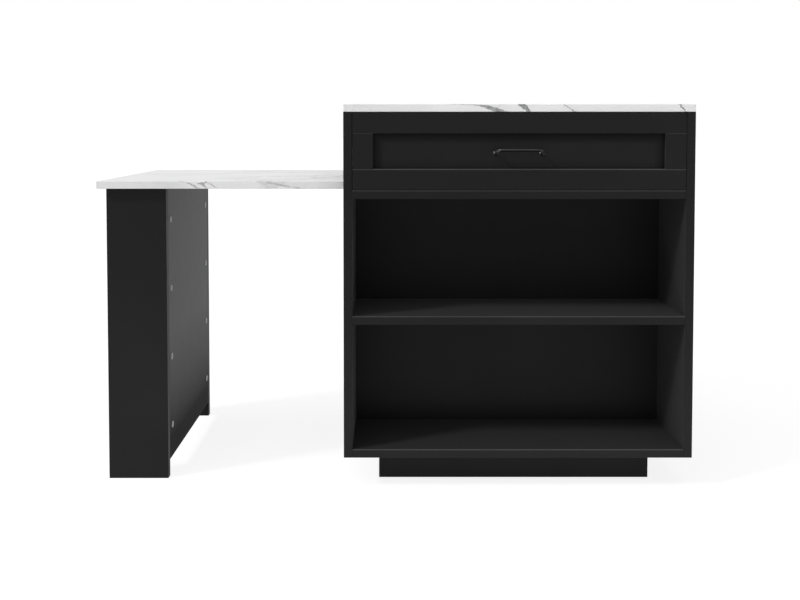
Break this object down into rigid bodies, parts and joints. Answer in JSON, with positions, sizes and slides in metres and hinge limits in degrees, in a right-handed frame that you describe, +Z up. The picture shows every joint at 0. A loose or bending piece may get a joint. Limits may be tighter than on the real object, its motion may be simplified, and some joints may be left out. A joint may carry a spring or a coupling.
{
  "type": "kitchen island unit",
  "caption": "Kitchen island with a shaker drawer over open shelf bays, an inset plinth, a marble-look top and a lower side table carried by a panel leg.",
  "frame": {"origin": "on the floor under the middle of the whole unit's bounding box", "axes": "+Z up, the drawer front faces -Y, the side table reaches out towards -X"},
  "size_m": [1.422, 0.7225, 0.914],
  "materials": {
    "black_paint": "matte black paint on board",
    "drawer_paint": "matte black paint on board",
    "marble_laminate": "white marble-look laminate on board, satin",
    "black_metal": "satin black",
    "zinc_alloy": "dull light grey die-cast",
    "runner_steel": "bright zinc-plated"
  },
  "bodies": {
    "cabinet": {"bay_back_panel": "black_paint", "bottom_panel": "black_paint", "drawer_divider": "black_paint", "leg_back_panel": "black_paint", "leg_bolt_1": "runner_steel", "leg_bolt_2": "runner_steel", "leg_bolt_3": "runner_steel", "leg_bolt_4": "runner_steel", "leg_bolt_5": "runner_steel", "leg_bolt_6": "runner_steel", "leg_bolt_7": "runner_steel", "leg_bolt_8": "runner_steel", "leg_bracket_1": "runner_steel", "leg_bracket_2": "runner_steel", "leg_cam_1": "zinc_alloy", "leg_cam_2": "zinc_alloy", "leg_cam_3": "zinc_alloy", "leg_cam_4": "zinc_alloy", "leg_cam_5": "zinc_alloy", "leg_cam_6": "zinc_alloy", "leg_cam_7": "zinc_alloy", "leg_cam_8": "zinc_alloy", "leg_front_panel": "black_paint", "leg_middle_panel": "black_paint", "middle_shelf": "black_paint", "plinth_front": "black_paint", "plinth_left": "black_paint", "plinth_rear": "black_paint", "plinth_right": "black_paint", "rear_apron": "black_paint", "rear_shelf": "black_paint", "runner_cabinet_left": "runner_steel", "runner_cabinet_right": "runner_steel", "side_panel_left": "black_paint", "side_panel_right": "black_paint", "table_bolt_1": "runner_steel", "table_bolt_2": "runner_steel", "table_cam_1": "zinc_alloy", "table_cam_2": "zinc_alloy", "table_top": "marble_laminate", "top_rail_front": "black_paint", "top_rail_rear": "black_paint", "worktop": "marble_laminate"},
    "drawer": {"drawer_bottom": "drawer_paint", "drawer_box_back": "drawer_paint", "drawer_box_front": "drawer_paint", "drawer_front_bottom_rail": "drawer_paint", "drawer_front_left_stile": "drawer_paint", "drawer_front_panel": "drawer_paint", "drawer_front_right_stile": "drawer_paint", "drawer_front_top_rail": "drawer_paint", "drawer_pull": "black_metal", "drawer_side_left": "drawer_paint", "drawer_side_right": "drawer_paint", "runner_drawer_left": "runner_steel", "runner_drawer_right": "runner_steel"},
    "runner_middles": {"runner_middle_left": "runner_steel", "runner_middle_right": "runner_steel"}
  },
  "joints": [
    {"name": "drawer_slide", "type": "slide", "parent": "cabinet", "child": "drawer", "axis": [0, -1, 0], "range_m": [0, 0.38]},
    {"name": "runner_middle_slide", "type": "slide", "parent": "cabinet", "child": "runner_middles", "axis": [0, -1, 0], "range_m": [0, 0.19]}
  ],
  "couplings": [
    {"joint": "runner_middle_slide", "follows": "drawer_slide", "ratio": 0.5}
  ]
}
